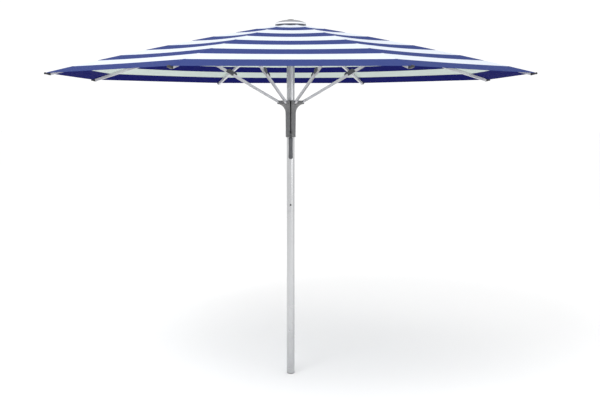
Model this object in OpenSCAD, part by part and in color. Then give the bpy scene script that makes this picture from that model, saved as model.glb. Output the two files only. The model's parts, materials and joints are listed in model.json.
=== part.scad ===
// Three metre centre-pole sun umbrella with eight ribs, a trumpet-shaped runner
// and a grip lever. Shown open. The origin is the centre of the mast's foot.
// Each rib and its strut lie in one radial plane, so most outlines are drawn in
// that plane as (distance from the mast's axis, height).

/* [Canopy] */
// Distance from the mast's axis to a canopy corner
canopy_r = 1500; // [1300:10:1650]
// Height that the cloth loses from the crown to a corner
canopy_drop = 333; // [300:1:420]
// Rise of the bowed rib above its chord at mid length
rib_bow = 16; // [0:1:40]
// Thickness of the canopy cloth
cloth_t = 1.5; // [1:0.1:2.5]
// Width of the doubled hem along the rim
hem_w = 28; // [15:1:45]
// Radius of the hole at the crown of the cloth
crown_hole_r = 8; // [6:0.5:12]

/* [Mast] */
// Height of the mast's top above its foot
mast_h = 2205; // [2000:1:2400]
// Outer radius of the mast
mast_r = 25; // [22:0.5:27]
// Wall thickness of the mast
mast_wall = 1.8; // [1.5:0.1:3]
// Height of the joint between the lower and the upper mast
mast_joint_z = 1055; // [960:5:1150]
// Half of the length of the sleeve inside that joint
sleeve_half = 120; // [80:5:160]
// Wall thickness of the sleeve
sleeve_wall = 2; // [1.5:0.1:3]
// Distance of the sleeve's screw above the joint
screw_up = 39; // [25:1:60]
// Chamfer of the tubes' ends at the joint
joint_chamfer = 0.5; // [0.3:0.1:0.8]
// Radius of the screw's head
screw_head_r = 6; // [4.5:0.5:7.5]
// Depth of the foot plug inside the mast
plug_depth = 34; // [20:1:60]
// Thickness of the foot plug's rim
plug_rim = 4; // [2:0.5:6]

/* [Ribs] */
// Number of ribs
rib_count = 8; // [6:2:8]
// Width of a rib
rib_w = 14; // [12:0.5:15]
// Height of a rib
rib_h = 18; // [16:0.5:24]
// Wall thickness of a rib
rib_wall = 1.6; // [1.2:0.1:2.2]
// Length of the solid part at a rib's inner end
rib_root_len = 34; // [28:1:50]
// Distance that a rib's tube stops short of the canopy corner
rib_short = 24; // [18:1:34]
// Radius of the nose of the cap on a rib's end
nose_r = 6; // [4.5:0.5:8]
// How far a cap's plug goes into the rib
tip_plug = 22; // [12:1:32]

/* [Hub] */
// Radius of the circle of the rib pins
hub_pin_r = 45; // [43:0.5:50]
// Height of the rib pins above the mast's top
hub_pin_up = 18; // [16:0.5:24]
// Outer radius of the hub
hub_r = 62; // [58:0.5:70]
// Depth of the hub's spigot inside the mast
hub_spigot = 50; // [30:1:80]
// Radius of a rib pin
hub_pin_rad = 2.5; // [2:0.1:3]
// Length of a rib pin
hub_pin_len = 27; // [22:0.5:28]

/* [Crown] */
// Radius of the crown cap
cap_r = 98; // [80:1:120]
// Height of the crown cap's edge
cap_edge = 20; // [12:0.5:26]
// Height of the crown cap's flat top above the cloth
cap_rise = 20; // [14:0.5:26]
// Radius of that flat
cap_flat_r = 24; // [18:0.5:32]
// Wall thickness of the crown cap
cap_wall = 3; // [2:0.1:4]
// Radius of the finial
finial_r = 22; // [16:0.5:30]
// Height of the finial above the cap
finial_h = 6; // [4:0.5:12]
// Radius of the finial's stud
stud_r = 4; // [3:0.1:5]
// Depth of the stud inside the hub
stud_depth = 24; // [15:1:30]

/* [Struts] */
// Distance of the middle of a strut bracket from the mast's axis
strut_out_r = 682; // [640:1:720]
// Distance of the strut's outer pivot below the middle of the rib
strut_drop = 23; // [22:0.5:30]
// Width of a strut
strut_w = 12; // [10:0.5:12.5]
// Height of a strut
strut_h = 16; // [14:0.5:17]
// Wall thickness of a strut's channel
strut_wall = 1.6; // [1.2:0.1:2.2]
// Length of the solid part at each end of a strut
strut_end = 24; // [18:1:40]
// Radius of a strut's pivot pins
strut_pin_rad = 3; // [2.5:0.1:3.5]
// Distance of the buffer from the strut's inner pivot
buffer_at = 378; // [300:1:420]
// Length of the buffer
buffer_len = 50; // [36:1:64]
// Height of the buffer above the strut
buffer_h = 13; // [8:0.5:14]
// Wall thickness of the buffer beside the strut
buffer_wall = 3; // [2:0.1:4]

/* [Brackets] */
// Length of a strut bracket along the rib
bracket_len = 62; // [54:1:80]
// Thickness of a bracket's plate
bracket_t = 2.4; // [2:0.1:3]
// Height of a bracket's cheeks above the middle of the rib
bracket_up = 7; // [5:0.5:8]
// Radius of a bracket's rivets
rivet_r = 2.4; // [2:0.1:2.6]

/* [Runner] */
// Height of the struts' inner pivots when the umbrella is open
runner_pin_z = 1745; // [1660:1:1780]
// Distance of these pivots from the mast's axis
runner_pin_r = 75; // [72:0.5:80]
// Radius of the runner's flange
flange_r = 86; // [84:0.5:92]
// Height of the flange above and below the pivots
flange_half = 12; // [9:0.5:14]
// Length of the runner below the pivots
runner_len = 220; // [190:1:260]
// Outer radius of the runner's body at its lower end
body_r = 31.5; // [31:0.1:34]
// Extra radius of the body where the trumpet begins
body_taper = 1.5; // [0:0.1:3]
// Height of the trumpet's curve below the pivots
trumpet_h = 68; // [56:1:90]
// Radius that the trumpet reaches under the flange
trumpet_r = 71; // [66:0.5:74]
// Width of the slot down the runner's front
slot_w = 8; // [6:0.1:9]
// Wall left between that slot and the bore
slot_floor = 1.5; // [1:0.1:2.5]

/* [Lever] */
// Height of the lever's pivot above the runner's lower end
lever_up = 22; // [20:1:30]
// Distance of the lever's pivot in front of the mast's axis
lever_out = 37; // [36:0.5:42]
// Radius of the lever's pivot pin
lever_pin_rad = 3; // [2.5:0.1:3.5]
// Width of the lever's arm
arm_w = 7.2; // [5:0.1:7.4]
// Length of the grip
grip_len = 136; // [100:1:150]
// Width of the grip
grip_w = 27; // [24:0.5:34]
// Depth of the grip
grip_d = 15; // [12:0.5:20]

/* [Fits] */
// Radial clearance of a pin in its hole
pin_clear = 0.05; // [0.02:0.01:0.1]
// Radial clearance of the runner on the mast
slide_clear = 0.3; // [0.2:0.05:0.6]
// Gap between the cloth and what lies under it
cloth_gap = 1.6; // [1.4:0.1:3]
// Side clearance of a moving blade in its slot
blade_clear = 1; // [0.4:0.1:1.2]

/* [Hidden] */
$fn = 64;
MAST_COL = "gainsboro";
FRAME_COL = "silver";
DARK_COL = [0.16, 0.16, 0.17];
RUNNER_COL = [0.42, 0.43, 0.44];
CLOTH_COL = [0.27, 0.33, 0.57];
CAP_COL = [0.62, 0.62, 0.62];

step_deg = 360 / rib_count;
mast_bore = mast_r - mast_wall;
hub_pin_z = mast_h + hub_pin_up;
runner_bore = mast_r + slide_clear;
runner_low = runner_pin_z - runner_len;
runner_top = runner_pin_z + flange_half;
rib_end_r = canopy_r - rib_short;
rib_slot_w = rib_w + 2 * blade_clear;
strut_slot_w = strut_w + 2 * blade_clear;
eye_r = rib_h / 2;
cloth_hang = cloth_t + cloth_gap;

// Height lost by the cloth's upper face from the crown to radius r, along a rib
function fall(r) = canopy_drop * r / canopy_r - 4 * rib_bow * (r / canopy_r) * (1 - r / canopy_r);
// Height of the cloth's upper face at the crown and at radius r
crown_z = hub_pin_z + eye_r + cloth_hang + fall(hub_pin_r);
function cloth_z(r) = crown_z - fall(r);
// Heights of a rib's top, middle and bottom at radius r
function rib_top(r) = cloth_z(r) - cloth_hang;
function rib_mid(r) = rib_top(r) - rib_h / 2;
function rib_low(r) = rib_top(r) - rib_h;
// Slope of a rib at radius r, in degrees
function rib_slope(r) = atan((rib_top(r + 1) - rib_top(r - 1)) / 2);
// n + 1 radii from a to b
function span(a, b, n) = [for (i = [0:n]) a + (b - a) * i / n];
// n + 1 points of an arc about c, from angle a to angle b
function arc(c, r, a, b, n) = [for (i = [0:n]) c + r * [cos(a + (b - a) * i / n), sin(a + (b - a) * i / n)]];
// The list p in the opposite order
function back(p) = [for (i = [len(p) - 1:-1:0]) p[i]];

// The strut's two pivots, as (distance, height): outer under the rib, inner on the runner
bracket_deg = rib_slope(strut_out_r);
strut_outer = [strut_out_r, rib_mid(strut_out_r)] + strut_drop * [sin(bracket_deg), -cos(bracket_deg)];
strut_inner = [runner_pin_r, runner_pin_z];
strut_run = strut_outer - strut_inner;
strut_len = norm(strut_run);
strut_tilt = atan2(strut_run[1], strut_run[0]);

// Turns children drawn on +X to rib k
module at_rib(k) rotate([0, 0, step_deg * (k - 0.5)]) children();
// Thickens an outline of the radial plane to width w
module blade(w) rotate([90, 0, 0]) linear_extrude(w, center = true) children();
// A round bar of radius r and length h across the radial plane at p
module cross_bar(p, r, h) translate([p[0], 0, p[1]]) rotate([90, 0, 0]) cylinder(r = r, h = h, center = true);
// A tube standing on z
module tube(z, h, r, wall) translate([0, 0, z]) difference() {
    cylinder(r = r, h = h);
    translate([0, 0, -1]) cylinder(r = r - wall, h = h + 2);
}

// ---- mast ----

plug_clear = 0.2;

module foot_plug() color(DARK_COL) rotate_extrude() polygon([
    [0, 0], [mast_r - 2, 0], [mast_r - 0.4, 1.6], [mast_r - 0.4, plug_rim],
    [mast_bore - plug_clear, plug_rim], [mast_bore - plug_clear, plug_depth - 2],
    [mast_bore - 2, plug_depth], [mast_bore - 4, plug_depth],
    [mast_bore - 4, plug_rim + 3], [0, plug_rim + 3]
]);

screw_z = mast_joint_z + screw_up;
screw_r = screw_head_r / 2;

// The bore for the screw's shank and the seat for its head, on the front
module screw_bore() translate([0, 0, screw_z]) rotate([90, 0, 0]) {
    cylinder(r = screw_r + pin_clear, h = mast_r + 1);
    translate([0, 0, mast_bore - plug_clear]) cylinder(r = screw_head_r + pin_clear, h = mast_r);
}

// A mast tube from height a to height b, with its end at the joint chamfered
module mast_tube(a, b) rotate_extrude() polygon([
    [mast_bore, a], [mast_r - (a == mast_joint_z ? joint_chamfer : 0), a],
    [mast_r, a + (a == mast_joint_z ? joint_chamfer : 0)],
    [mast_r, b - (b == mast_joint_z ? joint_chamfer : 0)],
    [mast_r - (b == mast_joint_z ? joint_chamfer : 0), b], [mast_bore, b]
]);

module mast_lower() color(MAST_COL) mast_tube(plug_rim, mast_joint_z);

module mast_upper() color(MAST_COL) difference() {
    mast_tube(mast_joint_z, mast_h);
    screw_bore();
}

module mast_sleeve() color(FRAME_COL) difference() {
    tube(mast_joint_z - sleeve_half, 2 * sleeve_half, mast_bore - plug_clear, sleeve_wall);
    screw_bore();
}

// The head is flush with the mast, so that the runner can pass over it
module sleeve_screw() color(DARK_COL) intersection() {
    translate([0, 0, screw_z]) rotate([90, 0, 0]) {
        translate([0, 0, mast_bore - 6]) cylinder(r = screw_r, h = 8);
        translate([0, 0, mast_bore - plug_clear + pin_clear]) cylinder(r = screw_head_r, h = 4);
    }
    translate([0, 0, screw_z - 10]) cylinder(r = mast_r, h = 20);
}

// ---- hub ----

hub_core_r = hub_pin_r - eye_r - blade_clear;

// The hub's upper face follows the underside of the cloth
module crown_hub() color(DARK_COL) difference() {
    rotate_extrude() polygon(concat(
        [[0, mast_h - hub_spigot], [mast_bore - 1.5, mast_h - hub_spigot]],
        [[mast_bore - plug_clear, mast_h - hub_spigot + 2], [mast_bore - plug_clear, mast_h]],
        [[hub_r - 4, mast_h], [hub_r, mast_h + 4]],
        [for (r = [hub_r, hub_r * 0.6, hub_r * 0.3, 0]) [r, rib_top(r)]]
    ));
    for (k = [1:rib_count]) at_rib(k) {
        translate([hub_core_r, -rib_slot_w / 2, mast_h - 1]) cube([hub_r, rib_slot_w, 60]);
        cross_bar([hub_pin_r, hub_pin_z], hub_pin_rad + pin_clear, hub_pin_len + 2 * pin_clear);
    }
    translate([0, 0, crown_z - stud_depth - 12]) cylinder(r = stud_r + pin_clear, h = stud_depth + 20);
}

module hub_pins() color(FRAME_COL) for (k = [1:rib_count]) at_rib(k)
    cross_bar([hub_pin_r, hub_pin_z], hub_pin_rad, hub_pin_len);

// ---- crown ----

// The cap is a dome with a boss, which rest on the cloth
cap_seat = 0.3;
cap_top = crown_z + cap_rise;
cap_rim_z = cloth_z(cap_r) + cap_seat + cap_edge;
boss_r = stud_r + 8;
// Height of the dome at radius r
function dome_z(r) = cap_top - (cap_top - cap_rim_z) * pow((r - cap_flat_r) / (cap_r - 3 - cap_flat_r), 2);

module crown_cap() color(CAP_COL) difference() {
    rotate_extrude($fn = 96) polygon(concat(
        [[0, crown_z + cap_seat], [boss_r, crown_z + cap_seat], [boss_r, cap_top - cap_wall]],
        [for (r = span(cap_flat_r, cap_r - 3, 6)) [r - 0.5, dome_z(r) - cap_wall]],
        [[cap_r - cap_wall, cloth_z(cap_r - cap_wall) + cap_seat], [cap_r, cloth_z(cap_r) + cap_seat]],
        [[cap_r, cap_rim_z - 3], [cap_r - 1, cap_rim_z - 1]],
        [for (r = back(span(cap_flat_r, cap_r - 3, 6))) [r, dome_z(r)]],
        [[0, cap_top]]
    ));
    translate([0, 0, crown_z - 20]) cylinder(r = stud_r + pin_clear, h = 60);
}

module finial() color(DARK_COL) rotate_extrude() polygon(concat(
    [[0, crown_z - stud_depth], [stud_r - 1, crown_z - stud_depth], [stud_r, crown_z - stud_depth + 1]],
    [[stud_r, cap_top], [finial_r - 1, cap_top]],
    [for (a = [0:10:90]) [finial_r * cos(a), cap_top + 1.5 + (finial_h - 1.5) * sin(a)]]
));

// ---- canopy ----

// One pair of faces between each two ribs, with a doubled hem at the rim
module canopy() color(CLOTH_COL) rotate([0, 0, step_deg / 2]) rotate_extrude($fn = rib_count) polygon(concat(
    [for (r = span(crown_hole_r, canopy_r - hem_w, 14)) [r, cloth_z(r)]],
    [[canopy_r - hem_w, cloth_z(canopy_r - hem_w) + cloth_t], [canopy_r, cloth_z(canopy_r) + cloth_t]],
    [for (r = back(span(crown_hole_r, canopy_r, 14))) [r, cloth_z(r) - cloth_t]]
));

// ---- ribs ----

// Where the rivets of a bracket cross the rib, as distances along the rib
rivet_at = [-bracket_len / 2 + 9, bracket_len / 2 - 9];

// The frame of a bracket: on the rib's middle line above the pivot, along the rib
module at_bracket() translate([strut_out_r, 0, rib_mid(strut_out_r)]) rotate([0, -bracket_deg, 0]) children();

module rib(k) color(FRAME_COL) at_rib(k) difference() {
    blade(rib_w) {
        polygon(concat(
            [for (r = span(hub_pin_r, rib_end_r, 14)) [r, rib_low(r)]],
            [for (r = back(span(hub_pin_r, rib_end_r, 14))) [r, rib_top(r)]]
        ));
        translate([hub_pin_r, hub_pin_z]) circle(r = eye_r);
    }
    blade(rib_w - 2 * rib_wall) polygon(concat(
        [for (r = span(hub_pin_r + rib_root_len, rib_end_r + 1, 14)) [r, rib_low(r) + rib_wall]],
        [for (r = back(span(hub_pin_r + rib_root_len, rib_end_r + 1, 14))) [r, rib_top(r) - rib_wall]]
    ));
    cross_bar([hub_pin_r, hub_pin_z], hub_pin_rad + pin_clear, rib_w + 2);
    at_bracket() for (u = rivet_at) cross_bar([u, 0], rivet_r + pin_clear, rib_w + 2);
}

// A cap plugged into the rib's open end; its nose stands up beyond the canopy's corner
tip_w = rib_w + 3;
nose_at = canopy_r + nose_r + 0.8;
nose_z = cloth_z(canopy_r) - 4;

module tip_side() {
    polygon([
        [rib_end_r, rib_low(rib_end_r) - 1], [nose_at, nose_z] + nose_r * [cos(240), sin(240)],
        [nose_at, nose_z], [canopy_r, rib_top(canopy_r) - 0.5], [rib_end_r, rib_top(rib_end_r) - 0.5]
    ]);
    translate([nose_at, nose_z]) circle(r = nose_r);
}

module tip_plan() {
    translate([rib_end_r, -tip_w / 2]) square([nose_at + nose_r - tip_w / 2 - rib_end_r, tip_w]);
    translate([nose_at + nose_r - tip_w / 2, 0]) circle(r = tip_w / 2);
}

module rib_tip(k) color(DARK_COL) at_rib(k) {
    intersection() {
        blade(tip_w) tip_side();
        translate([0, 0, nose_z - 30]) linear_extrude(60) tip_plan();
    }
    blade(rib_w - 2 * rib_wall - 0.6) polygon([
        for (c = [[-tip_plug, 1], [1, 1], [1, -1], [-tip_plug, -1]])
            [rib_end_r + c[0], rib_mid(rib_end_r + c[0]) + c[1] * (rib_h / 2 - rib_wall - 0.3)]
    ]);
}

// ---- brackets under the ribs ----

web_low = -rib_h / 2 - bracket_t;
lug_r = strut_pin_rad + 6;

module cheek_outline() {
    translate([-bracket_len / 2, web_low]) square([bracket_len, bracket_up - web_low]);
    polygon([[-20, web_low + 1], [20, web_low + 1], [lug_r, -strut_drop], [-lug_r, -strut_drop]]);
    translate([0, -strut_drop]) circle(r = lug_r);
}

// A rivet or headed pin through both cheeks
module headed_pin(p, r, head_r, head_t) {
    cross_bar(p, r, rib_w + 2 * bracket_t + head_t);
    for (s = [-1, 1]) translate([p[0], s * (rib_w / 2 + bracket_t + pin_clear + head_t / 2), p[1]])
        rotate([90, 0, 0]) cylinder(r = head_r, h = head_t, center = true);
}

module rib_bracket(k) color(FRAME_COL) at_rib(k) at_bracket() {
    difference() {
        blade(rib_w + 2 * bracket_t) cheek_outline();
        translate([-bracket_len, -rib_w / 2, -rib_h / 2]) cube([2 * bracket_len, rib_w, rib_h + 10]);
        translate([-bracket_len, -rib_w / 2, web_low - 60]) cube([2 * bracket_len, rib_w, 60]);
        cross_bar([0, -strut_drop], strut_pin_rad + pin_clear, rib_w + 20);
        for (u = rivet_at) cross_bar([u, 0], rivet_r + pin_clear, rib_w + 20);
    }
    headed_pin([0, -strut_drop], strut_pin_rad, strut_pin_rad + 2.5, 2);
    for (u = rivet_at) headed_pin([u, 0], rivet_r, rivet_r + 1.8, 1.4);
}

// ---- struts ----

// The frame of a strut: at its inner pivot, with +X along the strut
module on_strut() translate([strut_inner[0], 0, strut_inner[1]]) rotate([0, -strut_tilt, 0]) children();

strut_pin_len = 29;

// A channel, open below, with a solid eye at each end and a cross pin in the inner eye
module strut(k) color(FRAME_COL) at_rib(k) on_strut() {
    difference() {
        blade(strut_w) {
            translate([0, -strut_h / 2]) square([strut_len, strut_h]);
            for (u = [0, strut_len]) translate([u, 0]) circle(r = strut_h / 2);
        }
        translate([strut_end, -strut_w / 2 + strut_wall, -strut_h / 2 - 1])
            cube([strut_len - 2 * strut_end, strut_w - 2 * strut_wall, strut_h + 1 - strut_wall]);
        for (u = [0, strut_len]) cross_bar([u, 0], strut_pin_rad + pin_clear, strut_w + 2);
    }
    cross_bar([0, 0], strut_pin_rad, strut_pin_len);
}

// A moulded buffer that clips over the strut and keeps it off the folded rib
module strut_buffer(k) color(DARK_COL) at_rib(k) on_strut() translate([buffer_at, 0, 0]) difference() {
    blade(strut_w + 2 * buffer_wall) polygon([
        [-buffer_len / 2, -strut_h / 2 + 1.5], [buffer_len / 2, -strut_h / 2 + 1.5],
        [buffer_len / 2, strut_h / 2 + 3], [buffer_len / 2 - 12, strut_h / 2 + buffer_h],
        [-buffer_len / 2 + 12, strut_h / 2 + buffer_h], [-buffer_len / 2, strut_h / 2 + 3]
    ]);
    translate([-buffer_len, -strut_w / 2, -strut_h]) cube([2 * buffer_len, strut_w, 1.5 * strut_h]);
}

// ---- runner ----

// The trumpet's outline is an arc that leaves the body upright and ends under the flange
neck_r = body_r + body_taper;
flare = [trumpet_r - neck_r, trumpet_h - flange_half];
flare_r = (flare[0] * flare[0] + flare[1] * flare[1]) / (2 * flare[0]);
flare_deg = asin(flare[1] / flare_r);

notch_r = runner_pin_r - strut_h / 2 - 2;
pad_w = 12;
pad_h = 22;
lever_z = runner_low + lever_up;
lug_half = slot_w / 2 + 6.5;
ear_r = 8;
pad_clear = 0.1;
pad_t = lever_out - ear_r - slide_clear - runner_bore;
groove_half = strut_pin_rad + 0.1;

module trumpet_body() rotate_extrude($fn = 96) polygon(concat(
    [[runner_bore, runner_low + 1], [runner_bore + 1, runner_low]],
    [[body_r - 1, runner_low], [body_r, runner_low + 1]],
    arc([neck_r + flare_r, runner_pin_z - trumpet_h], flare_r, 180, 180 - flare_deg, 9),
    [[flange_r - 1.5, runner_pin_z - flange_half + 2], [flange_r, runner_pin_z - flange_half + 4]],
    [[flange_r, runner_top - 2], [flange_r - 2, runner_top]],
    [[runner_bore + 1, runner_top], [runner_bore, runner_top - 1]]
));

// The two ears for the lever's pin, on the front of the body
module lever_ears() rotate([0, 0, -90]) blade(2 * lug_half) {
    translate([lever_out, lever_z]) circle(r = ear_r);
    polygon([
        [runner_bore + 3, lever_z + 22], [runner_bore + 3, lever_z - 14],
        [lever_out, lever_z - ear_r], [lever_out + ear_r, lever_z]
    ]);
}

module runner() color(RUNNER_COL) difference() {
    union() {
        trumpet_body();
        lever_ears();
    }
    translate([0, 0, runner_low - 1]) cylinder(r = runner_bore, h = runner_len + flange_half + 2);
    // notches for the struts and the grooves, open below, for their pins
    for (k = [1:rib_count]) at_rib(k) {
        translate([notch_r, -strut_slot_w / 2, runner_pin_z - 40]) cube([flange_r, strut_slot_w, 80]);
        cross_bar([runner_pin_r, runner_pin_z], groove_half, strut_pin_len + 1);
        translate([runner_pin_r, 0, runner_pin_z]) blade(strut_pin_len + 1) polygon([
            [-groove_half, 0], [groove_half, 0], [groove_half + 8, -24], [-groove_half, -24]
        ]);
    }
    // the slot down the front, and the window for the brake pad
    translate([-slot_w / 2, -flange_r - 1, runner_low - 1])
        cube([slot_w, flange_r + 1 - runner_bore - slot_floor, runner_len + flange_half + 2]);
    translate([-pad_w / 2 - pad_clear, -lever_out + 4, lever_z - pad_h / 2 - pad_clear])
        cube([pad_w + 2 * pad_clear, 20, pad_h + 2 * pad_clear]);
    rotate([0, 0, -90]) cross_bar([lever_out, lever_z], lever_pin_rad + pin_clear, 2 * lug_half + 2);
}

// The lever's cam presses this pad on the mast
module brake_pad() color(DARK_COL) difference() {
    translate([-pad_w / 2, -runner_bore - pad_t, lever_z - pad_h / 2]) cube([pad_w, pad_t + 5, pad_h]);
    translate([0, 0, lever_z - pad_h]) cylinder(r = runner_bore, h = 2 * pad_h);
}

module lever_pin() color(FRAME_COL) rotate([0, 0, -90])
    cross_bar([lever_out, lever_z], lever_pin_rad, 2 * lug_half);

// ---- lever ----

grip_gap = 1.2;
grip_top = runner_low - grip_gap;
grip_in = mast_r + grip_gap;
tongue_in = grip_in + 3;
tongue_len = grip_len * 0.55;

module lever_arm() color(DARK_COL) rotate([0, 0, -90]) difference() {
    blade(arm_w) {
        translate([lever_out, lever_z]) circle(r = ear_r);
        polygon([
            [tongue_in, grip_top - tongue_len], [tongue_in + 8, grip_top - tongue_len],
            [tongue_in + 9, grip_top], [lever_out + ear_r, lever_z], [lever_out - ear_r + 1, lever_z - 3],
            [tongue_in, grip_top]
        ]);
    }
    cross_bar([lever_out, lever_z], lever_pin_rad + pin_clear, arm_w + 2);
}

// The grip's side outline, flat towards the mast, and its front outline
module grip_side() polygon(concat(
    [[grip_in, grip_top], [grip_in, grip_top - grip_len + 4], [grip_in + 3, grip_top - grip_len]],
    arc([grip_in + grip_d - 7, grip_top - grip_len + 7], 7, -90, 0, 6),
    [for (x = [0.2:0.2:0.8]) [grip_in + grip_d - 3 * sin(180 * x), grip_top - grip_len * (1 - x)]],
    [[grip_in + grip_d - 1, grip_top - 6], [grip_in + grip_d - 5, grip_top]]
));

module grip_front() polygon(concat(
    [[-grip_w / 2 + 2, grip_top], [-grip_w / 2, grip_top - 3]],
    [[-grip_w / 2 + 1.5, grip_top - grip_len / 2], [-grip_w / 2, grip_top - grip_len + 12]],
    arc([0, grip_top - grip_len + 12], grip_w / 2, 190, 350, 12),
    [[grip_w / 2, grip_top - grip_len + 12], [grip_w / 2 - 1.5, grip_top - grip_len / 2]],
    [[grip_w / 2, grip_top - 3], [grip_w / 2 - 2, grip_top]]
));

module lever_grip() color(DARK_COL) difference() {
    intersection() {
        rotate([0, 0, -90]) blade(grip_w + 2) grip_side();
        translate([0, -grip_in + 5, 0]) rotate([90, 0, 0]) linear_extrude(grip_d + 10) grip_front();
    }
    // pocket for the arm's tongue
    rotate([0, 0, -90]) blade(arm_w + 0.2) polygon([
        [tongue_in - 0.1, grip_top - tongue_len - 0.1], [tongue_in + 8.1, grip_top - tongue_len - 0.1],
        [tongue_in + 9.1, grip_top + 1], [tongue_in - 0.1, grip_top + 1]
    ]);
    // thumb grooves across the lower end of the front face
    for (i = [0:3]) translate([-grip_w, -grip_in - grip_d - 0.4, grip_top - grip_len + 12 + 7 * i])
        rotate([0, 90, 0]) cylinder(r = 1.6, h = 2 * grip_w);
}

// ---- assembly ----

foot_plug();
mast_lower();
mast_upper();
mast_sleeve();
sleeve_screw();
crown_hub();
hub_pins();
canopy();
crown_cap();
finial();
runner();
brake_pad();
lever_pin();
lever_arm();
lever_grip();
for (k = [1:rib_count]) rib(k);
for (k = [1:rib_count]) rib_tip(k);
for (k = [1:rib_count]) rib_bracket(k);
for (k = [1:rib_count]) strut(k);
for (k = [1:rib_count]) strut_buffer(k);
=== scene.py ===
import json
import math
import bpy
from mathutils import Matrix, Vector


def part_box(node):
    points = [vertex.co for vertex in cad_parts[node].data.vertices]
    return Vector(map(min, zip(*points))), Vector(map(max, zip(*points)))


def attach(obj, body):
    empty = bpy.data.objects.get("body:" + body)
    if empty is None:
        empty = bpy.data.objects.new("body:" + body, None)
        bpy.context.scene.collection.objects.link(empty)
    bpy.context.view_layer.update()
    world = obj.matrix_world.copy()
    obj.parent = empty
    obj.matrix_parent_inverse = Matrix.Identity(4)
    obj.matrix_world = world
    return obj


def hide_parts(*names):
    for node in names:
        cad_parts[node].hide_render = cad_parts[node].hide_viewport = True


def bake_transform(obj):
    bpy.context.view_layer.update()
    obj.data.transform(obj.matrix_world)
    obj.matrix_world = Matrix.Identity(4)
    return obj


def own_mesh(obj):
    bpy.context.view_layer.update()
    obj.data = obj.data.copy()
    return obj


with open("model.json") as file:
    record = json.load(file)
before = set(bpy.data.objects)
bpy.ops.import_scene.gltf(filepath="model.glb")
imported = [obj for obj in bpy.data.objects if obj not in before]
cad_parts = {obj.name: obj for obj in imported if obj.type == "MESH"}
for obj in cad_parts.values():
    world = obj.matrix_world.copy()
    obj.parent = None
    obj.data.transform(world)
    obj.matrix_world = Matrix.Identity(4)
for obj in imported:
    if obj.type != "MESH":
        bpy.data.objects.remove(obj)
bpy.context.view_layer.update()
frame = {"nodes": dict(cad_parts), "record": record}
nodes = frame["nodes"]

# ---------------------------------------------------------------- measures, in metres
RIBS = 8
HALF = math.pi / RIBS
SIN, COS = math.sin(HALF), math.cos(HALF)
CANOPY_R = 1.5
DROP = 0.333             # from the crown down to the rim's corners
BOW = 0.016              # the ribs rise this much above a straight line
PIN_OUT = 0.045          # the hub pins lie this far from the mast's axis
HOLE_R = 0.008           # the hole in the cloth under the cap
CLOTH = 0.0012           # the cloth's thickness
HEM = 0.028
HEM_EXTRA = 0.0009       # the folded hem's extra thickness
HEM_RAMP = 0.003         # that thickness comes in over this length
ROW_STEP = 0.024         # between two rows of the cloth's mesh
STRIPE = 0.130
FIRST = 0.136            # the outermost stripe, which takes in the hem's edge
FOLD = math.radians(74.2)
RIM_P = CANOPY_R * COS   # distances called p run from the mast square to the rim
COLLAR_P = 0.075         # the cloth round the crown, from the mast out to the strips over the ribs, ends here
STRIP_NEAR = 1.045       # folded, a strip's edges lie nearer to the mast than its rib by this factor
STRIP_CLEAR = 0.0013     # taken off each side, so that folded neighbours stay clear
SAG = 0.006              # how far the cloth hangs between two ribs, half way out
RIM_SAG = 0.0005         # and at the rim
SEAM_HALF = 0.0065
SEAM_EDGE = 0.0025       # the seam's thickness fades out over this width
SEAM_RISE = 0.0008
SEAM_FROM = 0.02         # nearer to the mast the seam isn't raised
WAVER = 0.0012           # the stripes' borders waver within this width, as dyed yarn does
BORDER_SOFT = 0.016      # softness of a border, as a share of the stripes' sine
STITCH_AT = 0.0045       # the rows of stitches beside a rib
STITCH_HALF = 0.0006
STITCH_PITCH = 0.0042
STITCH_GAP = -0.35       # where the stitches' sine is under this, the thread is out of sight
HEM_ROW = 0.004          # the hem's row of stitches lies this far outside the hem's inner edge
YARN_PITCH = 0.0018      # two yarns
# the bounds of the runner's front slot, whose faces are painted near-black as shade
SLOT_HALF = 0.00405
SLOT_FRONT = -0.0262     # the slot's faces lie in front of this, the runner's bore behind it
PIN_RADIUS = 0.0025
PIN_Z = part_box("hub_pins")[0].z + PIN_RADIUS


def fall(r):
    """How far a rib's top has come down from the crown, r out from the mast."""
    x = r / CANOPY_R
    return DROP * x - 4 * BOW * x * (1 - x)


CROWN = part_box("canopy")[1].z + fall(HOLE_R)


def lerp(a, b, f):
    return a + (b - a) * f


# ---------------------------------------------------------------- materials
def srgb(r, g, b):
    def lin(v):
        v /= 255.0
        return v / 12.92 if v <= 0.04045 else ((v + 0.055) / 1.055) ** 2.4
    return (lin(r), lin(g), lin(b), 1.0)


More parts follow.
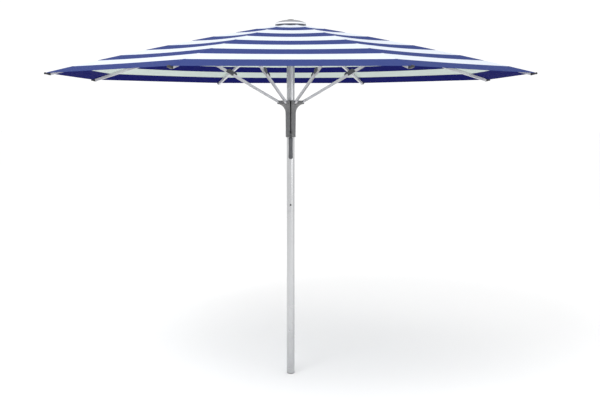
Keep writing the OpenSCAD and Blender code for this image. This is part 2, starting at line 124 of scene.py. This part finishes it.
class Nodes:
    """A material with a Principled shader and short calls for the nodes in front of it."""

    def __init__(self, name):
        self.mat = bpy.data.materials.new(name)
        self.mat.use_nodes = True
        self.tree = self.mat.node_tree
        self.tree.nodes.clear()
        self.out = self.add("ShaderNodeOutputMaterial")
        self.bsdf = self.add("ShaderNodeBsdfPrincipled")
        self.link(self.bsdf.outputs[0], self.out.inputs[0])

    def add(self, kind, **props):
        n = self.tree.nodes.new(kind)
        for key, value in props.items():
            setattr(n, key, value)
        return n

    def link(self, a, b):
        self.tree.links.new(a, b)

    def put(self, value, socket):
        if isinstance(value, bpy.types.NodeSocket):
            self.link(value, socket)
        else:
            socket.default_value = value

    def math(self, op, a, b=0.0, c=0.0):
        n = self.add("ShaderNodeMath", operation=op)
        for i, v in enumerate((a, b, c)):
            self.put(v, n.inputs[i])
        return n.outputs[0]

    def mix(self, f, a, b, kind="MIX"):
        n = self.add("ShaderNodeMix", data_type="RGBA", blend_type=kind)
        self.put(f, n.inputs["Factor"])
        self.put(a, n.inputs[6])
        self.put(b, n.inputs[7])
        return n.outputs[2]

    def noise(self, scale, detail=2.0, vector=None):
        n = self.add("ShaderNodeTexNoise")
        n.inputs["Scale"].default_value = scale
        n.inputs["Detail"].default_value = detail
        if vector is not None:
            self.link(vector, n.inputs["Vector"])
        return n.outputs["Fac"]

    def span(self, value, a, b, lo=0.0, hi=1.0):
        n = self.add("ShaderNodeMapRange", clamp=True)
        for i, v in enumerate((value, a, b, lo, hi)):
            self.put(v, n.inputs[i])
        return n.outputs[0]

    def bump(self, height, strength, distance):
        n = self.add("ShaderNodeBump")
        n.inputs["Strength"].default_value = strength
        n.inputs["Distance"].default_value = distance
        self.link(height, n.inputs["Height"])
        return n.outputs[0]

    def local(self):
        return self.add("ShaderNodeTexCoord").outputs["Object"]

    def split(self, vector):
        n = self.add("ShaderNodeSeparateXYZ")
        self.link(vector, n.inputs[0])
        return n.outputs


def plain(name, colour, rough, metallic=0.0, grain=0.0, grain_scale=900.0, dirt=0.06, streak=None,
          coat=0.0, over=None):
    """A moulded or metal surface: slight tone and gloss changes, and a fine grain or drawn streaks.

    over takes the material and its colour, and gives the colour back with a mark on it.
    """
    m = Nodes(name)
    pos = m.local()
    broad = m.noise(6.0, 3.0, pos)
    dark = tuple(c * (1 - dirt) for c in colour[:3]) + (1.0,)
    lite = tuple(min(1.0, c * (1 + dirt)) for c in colour[:3]) + (1.0,)
    tone = m.mix(m.span(broad, 0.35, 0.65), dark, lite)
    m.link(over(m, tone) if over else tone, m.bsdf.inputs["Base Color"])
    m.bsdf.inputs["Metallic"].default_value = metallic
    m.link(m.span(m.noise(30.0, 2.0, pos), 0.3, 0.7, rough * 0.88, min(1.0, rough * 1.12)),
           m.bsdf.inputs["Roughness"])
    if coat:
        m.bsdf.inputs["Coat Weight"].default_value = coat
        m.bsdf.inputs["Coat Roughness"].default_value = 0.25
    if streak is not None:
        mapping = m.add("ShaderNodeMapping")
        mapping.inputs["Scale"].default_value = streak
        m.link(pos, mapping.inputs["Vector"])
        m.link(m.bump(m.noise(1.0, 3.0, mapping.outputs[0]), 0.12, 0.0002), m.bsdf.inputs["Normal"])
    elif grain:
        m.link(m.bump(m.noise(grain_scale, 2.0, pos), grain, 0.0002), m.bsdf.inputs["Normal"])
    return m.mat


def cloth_material(name, blue, white, glow):
    """Striped woven cloth. UV is in metres: U across from the rib, V the row's distance p."""
    m = Nodes(name)
    uv = m.add("ShaderNodeUVMap", uv_map="cut").outputs[0]
    u, v, _ = m.split(uv)
    waver = m.math("MULTIPLY", m.math("SUBTRACT", m.noise(40.0, 2.0, uv), 0.5), WAVER)
    # equal blue and white stripes, counted from the rim inwards, the first one blue
    inward = m.math("SUBTRACT", RIM_P - FIRST + STRIPE, m.math("ADD", v, waver))
    inward = m.math("MAXIMUM", inward, 0.02)   # the hem's edge stays blue
    wave = m.math("SINE", m.math("MULTIPLY", inward, math.pi / STRIPE))
    band = m.span(wave, -BORDER_SOFT, BORDER_SOFT)
    base = m.mix(band, white, blue)
    # plain weave, and slubs along the yarns
    pitch = 2 * math.pi / YARN_PITCH
    warp = m.math("SINE", m.math("MULTIPLY", u, pitch))
    weft = m.math("SINE", m.math("MULTIPLY", v, pitch))
    weave = m.math("MULTIPLY", warp, weft)
    stretch = m.add("ShaderNodeMapping")
    stretch.inputs["Scale"].default_value = (12.0, 700.0, 1.0)
    m.link(uv, stretch.inputs["Vector"])
    slub = m.noise(1.0, 2.0, stretch.outputs[0])
    broad = m.noise(3.0, 3.0, uv)
    tone = m.math("ADD", m.span(slub, 0.25, 0.75, 0.95, 1.03), m.span(broad, 0.3, 0.7, -0.03, 0.03))
    tone = m.math("ADD", tone, m.math("MULTIPLY", weave, 0.02))
    shade = m.add("ShaderNodeCombineColor")
    for i in range(3):
        m.link(tone, shade.inputs[i])
    base = m.mix(1.0, base, shade.outputs[0], "MULTIPLY")
    # a row of stitches on both sides of each rib, and one row in the hem
    per_stitch = 2 * math.pi / STITCH_PITCH
    rows = m.math("COMPARE", m.math("ABSOLUTE", u), STITCH_AT, STITCH_HALF)
    dash = m.math("GREATER_THAN", m.math("SINE", m.math("MULTIPLY", v, per_stitch)), STITCH_GAP)
    hem_row = m.math("COMPARE", v, RIM_P - HEM + HEM_ROW, STITCH_HALF)
    hem_dash = m.math("GREATER_THAN", m.math("SINE", m.math("MULTIPLY", u, per_stitch)), STITCH_GAP)
    stitch = m.math("MAXIMUM", m.math("MULTIPLY", rows, dash), m.math("MULTIPLY", hem_row, hem_dash))
    thread = m.mix(band, srgb(205, 212, 220), srgb(64, 72, 120))
    base = m.mix(m.math("MULTIPLY", stitch, 0.8), base, thread)
    height = m.math("ADD", weave, m.math("MULTIPLY", stitch, 3.0))
    m.link(base, m.bsdf.inputs["Base Color"])
    m.bsdf.inputs["Roughness"].default_value = 0.9
    m.bsdf.inputs["Specular IOR Level"].default_value = 0.06
    m.link(m.bump(height, 0.35, 0.0002), m.bsdf.inputs["Normal"])
    through = m.add("ShaderNodeBsdfTranslucent")
    m.link(base, through.inputs["Color"])
    blend = m.add("ShaderNodeMixShader")
    blend.inputs[0].default_value = glow
    m.link(m.bsdf.outputs[0], blend.inputs[1])
    m.link(through.outputs[0], blend.inputs[2])
    m.link(blend.outputs[0], m.out.inputs[0])
    return m.mat


def cap_bands(name, dome, rim_highlight, foot):
    """The crown cap's dome, a lighter band round its edge under that, which is a painted highlight,
    and a darker band at its foot under that.
    """
    m = Nodes(name)
    pos = m.local()
    z = m.split(pos)[2]
    foot_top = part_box("crown_cap")[0].z + 0.0087
    rim_top = foot_top + 0.0094
    soft = 0.0003
    # from foot_top up to rim_top the cap takes the lighter colour: a painted highlight on its edge
    lower = m.mix(m.span(z, foot_top - soft, foot_top + soft), foot, rim_highlight)
    m.link(m.mix(m.span(z, rim_top - soft, rim_top + soft), lower, dome), m.bsdf.inputs["Base Color"])
    m.link(m.span(m.noise(30.0, 2.0, pos), 0.3, 0.7, 0.44, 0.56), m.bsdf.inputs["Roughness"])
    m.link(m.bump(m.noise(900.0, 2.0, pos), 0.08, 0.0002), m.bsdf.inputs["Normal"])
    return m.mat


def painted_shade_slot(m, colour):
    """Paints the slot down the runner's front near-black: painted shade in its recess."""
    x, y, _ = m.split(m.local())
    near = m.math("COMPARE", x, 0.0, SLOT_HALF)
    front = m.math("LESS_THAN", y, SLOT_FRONT)
    return m.mix(m.math("MULTIPLY", near, front), colour, (0.001, 0.001, 0.001, 1))


CLOTH_TOP = cloth_material("cloth_top", srgb(55, 68, 124), srgb(214, 220, 230), 0.10)
# the same cloth for the under faces, with a darker, more saturated blue and a greyer white: painted
# shade
CLOTH_UNDER_PAINTED_SHADE = cloth_material("cloth_under_painted_shade", srgb(2, 7, 92), srgb(205, 216, 210), 0.08)

DRAWN = (260.0, 260.0, 2.0)   # streaks along a drawn tube
PAINT = {"grain": 0.06, "grain_scale": 1400.0, "coat": 0.2}
LOOKS = {
    "mast_metal": plain("mast_metal_look", (0.50, 0.505, 0.515, 1), 0.3, 1.0, streak=DRAWN,
                        dirt=0.03, coat=0.6),
    "sleeve_metal": plain("sleeve_metal_look", (0.60, 0.60, 0.61, 1), 0.4, 1.0, streak=DRAWN),
    "rib_metal": plain("rib_metal_look", srgb(200, 201, 204), 0.42, **PAINT),
    "strut_metal": plain("strut_metal_look", srgb(202, 202, 205), 0.42, **PAINT),
    "bracket_steel": plain("bracket_look", srgb(150, 152, 154), 0.45, **PAINT),
    "pin_steel": plain("pin_look", (0.56, 0.56, 0.56, 1), 0.32, 1.0, grain=0.05),
    "screw_steel": plain("screw_look", (0.03, 0.03, 0.03, 1), 0.4, 0.0, grain=0.08),
    # the runner's grey, with its front slot painted near-black: painted shade in the recess
    "runner_plastic": plain("runner_look", srgb(107, 107, 108), 0.5, grain=0.18, grain_scale=1500.0,
                            over=painted_shade_slot),
    "lever_plastic": plain("lever_look", srgb(52, 53, 55), 0.45, grain=0.1),
    "grip_plastic": plain("grip_look", srgb(88, 89, 92), 0.6, grain=0.25, grain_scale=1300.0),
    "hub_plastic": plain("hub_look", srgb(64, 66, 70), 0.5, grain=0.15),
    "tip_plastic": plain("tip_look", srgb(38, 39, 44), 0.48, grain=0.12),
    "buffer_plastic": plain("buffer_look", srgb(74, 76, 80), 0.55, grain=0.15),
    "foot_plastic": plain("foot_look", srgb(46, 46, 48), 0.55, grain=0.15),
    "finial_plastic": plain("finial_look", srgb(96, 94, 92), 0.45, grain=0.08),
    "pad_rubber": plain("pad_look", srgb(34, 34, 34), 0.85, grain=0.3),
    # the cap's dome grey, its painted highlight band and its darker foot band
    "cap_plastic": cap_bands("cap_look", srgb(118, 120, 124), srgb(226, 228, 230), srgb(58, 62, 74)),
}

for row in frame["record"]["subparts"]:
    obj = nodes[row["node"]]
    if row["node"] == "canopy":
        continue
    obj.data.materials.clear()
    obj.data.materials.append(LOOKS[row["material_slot"]])


# ---------------------------------------------------------------- the canopy
def sag(p, share):
    """How far the cloth hangs below the line between two ribs, at share 0 to 1 from rib to middle."""
    x = max(0.0, min(1.0, p / RIM_P))
    depth = SAG * math.sin(math.pi * x) + RIM_SAG * x
    return depth * math.sin(math.pi / 2 * max(0.0, min(1.0, share)))


def seam_rise(t, p):
    """The felled seam over the rib, four layers in place of one."""
    past = abs(t) - SEAM_HALF
    if past >= SEAM_EDGE or p < SEAM_FROM:
        return 0.0
    return SEAM_RISE * (1.0 if past <= 0 else 1 - past / SEAM_EDGE)


def surface(p, t):
    """A point of the cloth's upper face in rib k's own frame: along the rib, across it, up."""
    mid = p * SIN
    x = (p - abs(t) * SIN) / COS
    share = abs(t) / mid if mid > 1e-9 else 0.0
    z = CROWN - fall(p / COS) - sag(p, share)
    return x, t, z


def strip_half(p):
    """Half of the width of the strip of cloth that stays flat on the folded rib."""
    out, up = p / COS - PIN_OUT, CROWN - fall(p / COS) - PIN_Z
    closed_r = PIN_OUT + out * math.cos(FOLD) + up * math.sin(FOLD)
    return closed_r * SIN / COS / STRIP_NEAR - STRIP_CLEAR


ROWS = []
p_now = COLLAR_P
while p_now < RIM_P - HEM - ROW_STEP / 2:
    ROWS.append(p_now)
    p_now += ROW_STEP
ROWS += [RIM_P - HEM - HEM_RAMP, RIM_P - HEM, RIM_P - HEM + HEM_RAMP, RIM_P - 0.016, RIM_P - 0.008,
         RIM_P - 0.003, RIM_P - 0.001, RIM_P]


def layer(p):
    """Thickness of the cloth at a row: the hem is folded in twice below."""
    x = (p - (RIM_P - HEM)) / HEM_RAMP
    return CLOTH + HEM_EXTRA * max(0.0, min(1.0, x))


def heading(k):
    """Rib k's direction round the mast."""
    return 2 * HALF * (k - 0.5)


def turn(x, y, z, k):
    """From rib k's own frame to the umbrella's."""
    a = heading(k)
    return (x * math.cos(a) - y * math.sin(a), x * math.sin(a) + y * math.cos(a), z)


def cloth_piece(name, k, rows, columns):
    """A closed thin sheet on the cloth's surface. columns(p) gives the across places in order."""
    grid = [[(p, t) for t in columns(p)] for p in rows]
    width = len(grid[0])
    verts, uvs, area = [], [], 0.0
    tops = []
    for line in grid:
        for p, t in line:
            x, y, z = surface(p, t)
            tops.append((x, y, z))
            verts.append(turn(x, y, z + seam_rise(t, p), k))
            uvs.append((t, p))
    for i, (x, y, z) in enumerate(tops):
        t, p = uvs[i]
        verts.append(turn(x, y, z - layer(p), k))
    count = len(tops)
    faces, marks = [], []
    for i in range(len(grid) - 1):
        for j in range(width - 1):
            a = i * width + j
            b, c, d = a + 1, a + width + 1, a + width
            faces.append((a, d, c, b))
            marks.append(0)
            faces.append((a + count, b + count, c + count, d + count))
            marks.append(1)
            pa, pb, pc, pd = (Vector(tops[q]) for q in (a, b, c, d))
            area += ((pb - pa).cross(pc - pa).length + (pc - pa).cross(pd - pa).length) / 2
    edge = list(range(width))
    edge += [i * width + width - 1 for i in range(1, len(grid))]
    edge += [(len(grid) - 1) * width + j for j in range(width - 2, -1, -1)]
    edge += [i * width for i in range(len(grid) - 2, 0, -1)]
    for i, a in enumerate(edge):
        b = edge[(i + 1) % len(edge)]
        faces.append((a, b, b + count, a + count))
        marks.append(0)
    mesh = bpy.data.meshes.new(name)
    mesh.from_pydata(verts, [], faces)
    mesh.materials.append(CLOTH_TOP)
    # the under faces take the cloth's copy with painted shade
    mesh.materials.append(CLOTH_UNDER_PAINTED_SHADE)
    layer_uv = mesh.uv_layers.new(name="cut")
    for poly, mark in zip(mesh.polygons, marks):
        poly.material_index = mark
        poly.use_smooth = True
        for loop in poly.loop_indices:
            layer_uv.data[loop].uv = uvs[mesh.loops[loop].vertex_index % count]
    mesh.update()
    mesh.set_sharp_from_angle(angle=math.radians(40))
    obj = bpy.data.objects.new(name, mesh)
    bpy.context.scene.collection.objects.link(obj)
    return obj, area


def strip_columns(p):
    """The across places of the strip over the rib, with the seam's own edges."""
    w = strip_half(p)
    edge = SEAM_HALF + SEAM_EDGE
    right = [STITCH_AT, SEAM_HALF, edge, lerp(edge, w, 0.5), w]
    return [-v for v in reversed(right)] + [0.0] + right


SIDE_STEPS = 14


def side_columns(sign):
    """The across places from the strip's edge to the middle of the gore, on one side."""
    def columns(p):
        w, mid = strip_half(p), p * SIN
        ts = [lerp(w, max(mid, w + 0.0005), i / SIDE_STEPS) for i in range(SIDE_STEPS + 1)]
        return [sign * t for t in (ts if sign > 0 else reversed(ts))]
    return columns


def collar_columns(p):
    mid = p * SIN
    return [mid * i / 4 for i in range(-4, 5)]


COLLAR_ROWS = [HOLE_R * COS, 0.016, 0.024, 0.032, 0.040, 0.047, 0.054, 0.060, 0.066, 0.071, COLLAR_P]
for k in range(1, RIBS + 1):
    body = "rib_%d" % k
    strip, area = cloth_piece("canopy_seam_%d" % k, k, ROWS, strip_columns)
    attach(strip, body)
    for sign, mark in ((1, "a"), (-1, "b")):
        side, area = cloth_piece("canopy_gore_%d%s" % (k, mark), k, ROWS, side_columns(sign))
        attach(side, body)
        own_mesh(side)
    collar, area = cloth_piece("canopy_crown_%d" % k, k, COLLAR_ROWS, collar_columns)
    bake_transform(collar)
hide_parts("canopy")

# ---------------------------------------------------------------- floor, light, camera
scene = bpy.context.scene
floor_mat = Nodes("floor_look")
patches = floor_mat.span(floor_mat.noise(0.7, 3.0), 0.3, 0.7)
tint = floor_mat.mix(patches, srgb(247, 247, 247), srgb(250, 250, 250))
floor_mat.link(tint, floor_mat.bsdf.inputs["Base Color"])
floor_mat.bsdf.inputs["Roughness"].default_value = 0.9
floor_mat.bsdf.inputs["Specular IOR Level"].default_value = 0.1
floor_mesh = bpy.data.meshes.new("floor")
FLOOR = 60
corners = [(-FLOOR, -FLOOR, 0), (FLOOR, -FLOOR, 0), (FLOOR, FLOOR, 0), (-FLOOR, FLOOR, 0)]
floor_mesh.from_pydata(corners, [], [(0, 1, 2, 3)])
floor_mesh.materials.append(floor_mat.mat)
floor = bpy.data.objects.new("floor", floor_mesh)
scene.collection.objects.link(floor)

world = bpy.data.worlds.new("studio")
world.use_nodes = True
sky = world.node_tree.nodes["Background"]
sky.inputs["Color"].default_value = (1.0, 1.0, 1.0, 1.0)
sky.inputs["Strength"].default_value = 1.06
scene.world = world


def lamp(name, place, target, size, power):
    data = bpy.data.lights.new(name, "AREA")
    data.shape = "DISK"
    data.size = size
    data.energy = power
    obj = bpy.data.objects.new(name, data)
    obj.location = place
    obj.rotation_mode = "QUATERNION"
    obj.rotation_quaternion = (Vector(target) - Vector(place)).to_track_quat("-Z", "Y")
    scene.collection.objects.link(obj)


lamp("key", (-2.5, -4.5, 6.5), (0, 0, 1.6), 3.5, 240)
lamp("fill", (4.5, -5.0, 2.2), (0, 0, 1.5), 3.0, 60)

# the camera as fitted to the photo's corners, crown, runner and foot
CAMERA_AWAY = 5.45
CAMERA_HIGH = 1.7084
CAMERA_DOWN = math.radians(3.59)
camera_data = bpy.data.cameras.new("camera")
camera_data.sensor_width = 36
camera_data.lens = 51.39
camera_data.shift_x = 0.01552
camera_data.shift_y = -0.07
camera_data.clip_end = 200
camera = bpy.data.objects.new("camera", camera_data)
camera.location = (0, -CAMERA_AWAY, CAMERA_HIGH)
camera.rotation_euler = (math.pi / 2 - CAMERA_DOWN, 0, 0)
scene.collection.objects.link(camera)
scene.camera = camera
scene.view_settings.view_transform = "Standard"
